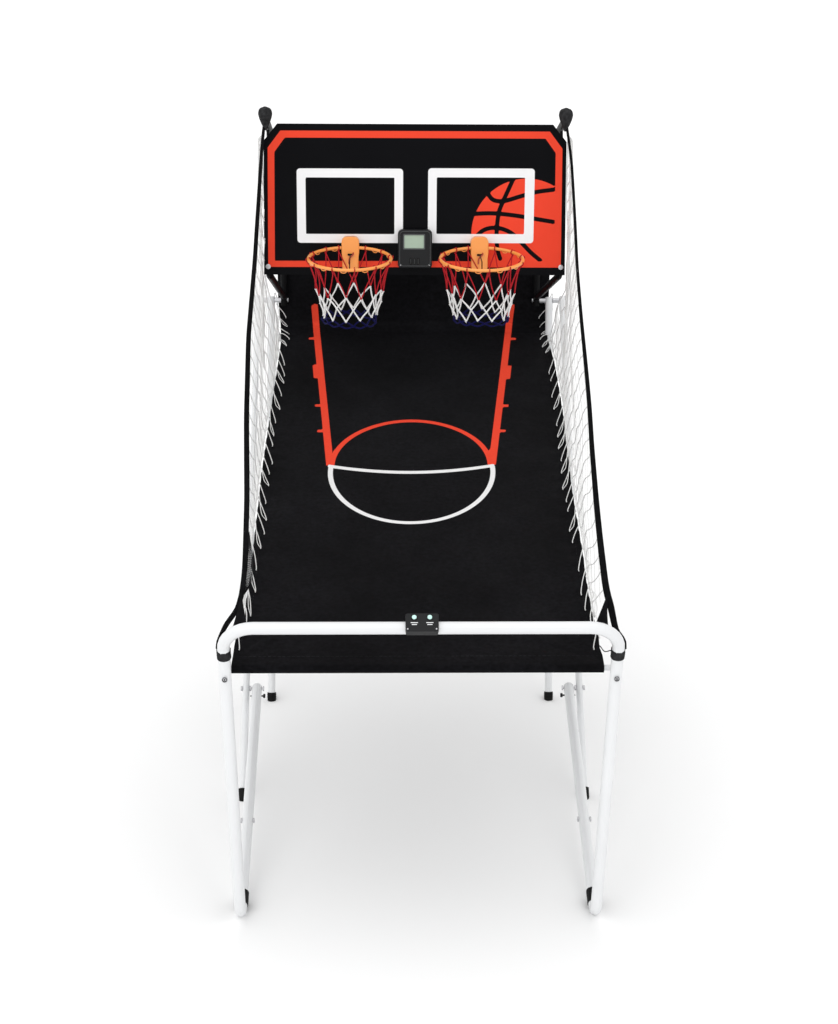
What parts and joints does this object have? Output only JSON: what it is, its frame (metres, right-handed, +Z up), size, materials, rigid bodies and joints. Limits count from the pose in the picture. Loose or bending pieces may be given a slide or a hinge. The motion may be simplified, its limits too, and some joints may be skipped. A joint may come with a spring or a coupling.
{
  "type": "foldable two-hoop indoor basketball game",
  "caption": "Foldable indoor basketball game: tube frame with a netted return ramp, a backboard with hoops, nets, a scoring display and a control box.",
  "frame": {"origin": "on the floor under the middle of the machine's bounding box", "axes": "+X to the player's right, +Y from the player to the rear, +Z up"},
  "size_m": [1.1022, 2.0245, 2.0759],
  "materials": {
    "white_paint": "gloss",
    "black_paint": "satin",
    "dark_plastic": "satin",
    "black_rubber": "matte",
    "orange_paint": "gloss",
    "net_cord": "matte",
    "black_fabric": "matte",
    "zinc_steel": "satin",
    "button_plastic": "satin",
    "board_laminate": "gloss",
    "lens": "satin"
  },
  "bodies": {
    "rear_stand": {"strut_left": "white_paint", "strut_right": "white_paint", "rear_leg_left": "white_paint", "rear_leg_right": "white_paint", "upper_arm_left": "black_paint", "upper_arm_right": "black_paint", "lower_arm_left": "black_paint", "lower_arm_right": "black_paint", "board_hanger_left": "black_paint", "board_hanger_right": "black_paint", "strut_foot_left": "black_rubber", "strut_foot_right": "black_rubber", "rear_foot_left": "black_rubber", "rear_foot_right": "black_rubber", "hoop_bracket_left": "orange_paint", "hoop_bracket_right": "orange_paint", "hoop_left": "orange_paint", "hoop_right": "orange_paint", "hoop_net_left": "net_cord", "hoop_net_right": "net_cord", "side_net_left": "net_cord", "side_net_right": "net_cord", "net_pocket_left": "black_fabric", "net_pocket_right": "black_fabric", "rear_joint_bolt_left": "zinc_steel", "rear_joint_bolt_right": "zinc_steel", "fold_pivot_bolt_left": "zinc_steel", "fold_pivot_bolt_right": "zinc_steel", "board_bolt_left": "zinc_steel", "board_bolt_right": "zinc_steel", "rear_crossbar": "white_paint", "backboard": "board_laminate", "scoreboard_case": "dark_plastic", "scoreboard_lens": "lens", "ramp_fabric": "black_fabric", "back_panel": "black_fabric"},
    "front_frame": {"front_leg_left": "white_paint", "front_leg_right": "white_paint", "brace_arm_left": "white_paint", "brace_arm_right": "white_paint", "foot_coupler_left": "black_rubber", "foot_coupler_right": "black_rubber", "hinge_cap_left": "white_paint", "hinge_cap_right": "white_paint", "bar_coupler_left": "dark_plastic", "bar_coupler_right": "dark_plastic", "hem_bolt_left": "zinc_steel", "hem_bolt_right": "zinc_steel", "brace_bolt_left": "zinc_steel", "brace_bolt_right": "zinc_steel", "front_bar": "white_paint", "hem_rod": "white_paint", "control_box": "dark_plastic"},
    "button_left_body": {"button_left": "button_plastic"},
    "button_right_body": {"button_right": "button_plastic"},
    "score_trigger_left_body": {"score_trigger_left": "black_paint"},
    "score_trigger_right_body": {"score_trigger_right": "black_paint"},
    "lock_pin_left_body": {"lock_pin_left": "zinc_steel"},
    "lock_pin_right_body": {"lock_pin_right": "zinc_steel"}
  },
  "joints": [
    {"name": "frame_fold", "type": "hinge", "parent": "rear_stand", "child": "front_frame", "pos_m": [0, 0.07481, 0.26887], "axis": [-1, 0, 0], "range_deg": [0, 80], "deforming": ["ramp_fabric", "side_net_left", "side_net_right", "hoop_net_left", "hoop_net_right"]},
    {"name": "button_left_press", "type": "slide", "parent": "front_frame", "child": "button_left_body", "axis": [0, 0.7071, -0.7071], "range_m": [0, 0.002], "stiffness_N_per_m": 600, "springref_m": -0.002},
    {"name": "button_right_press", "type": "slide", "parent": "front_frame", "child": "button_right_body", "axis": [0, 0.7071, -0.7071], "range_m": [0, 0.002], "stiffness_N_per_m": 600, "springref_m": -0.002},
    {"name": "score_trigger_left_tip", "type": "hinge", "parent": "rear_stand", "child": "score_trigger_left_body", "pos_m": [-0.1945, 0.1848, 1.645], "axis": [1, 0, 0], "range_deg": [0, 35], "stiffness_Nm_per_rad": 0.1, "springref_deg": -14.9},
    {"name": "score_trigger_right_tip", "type": "hinge", "parent": "rear_stand", "child": "score_trigger_right_body", "pos_m": [0.1945, 0.1848, 1.645], "axis": [1, 0, 0], "range_deg": [0, 35], "stiffness_Nm_per_rad": 0.1, "springref_deg": -14.9},
    {"name": "lock_pin_left_pull", "type": "slide", "parent": "front_frame", "child": "lock_pin_left_body", "axis": [1, 0, 0], "range_m": [0, 0.012], "stiffness_N_per_m": 300, "springref_m": -0.01},
    {"name": "lock_pin_right_pull", "type": "slide", "parent": "front_frame", "child": "lock_pin_right_body", "axis": [-1, 0, 0], "range_m": [0, 0.012], "stiffness_N_per_m": 300, "springref_m": -0.01}
  ]
}
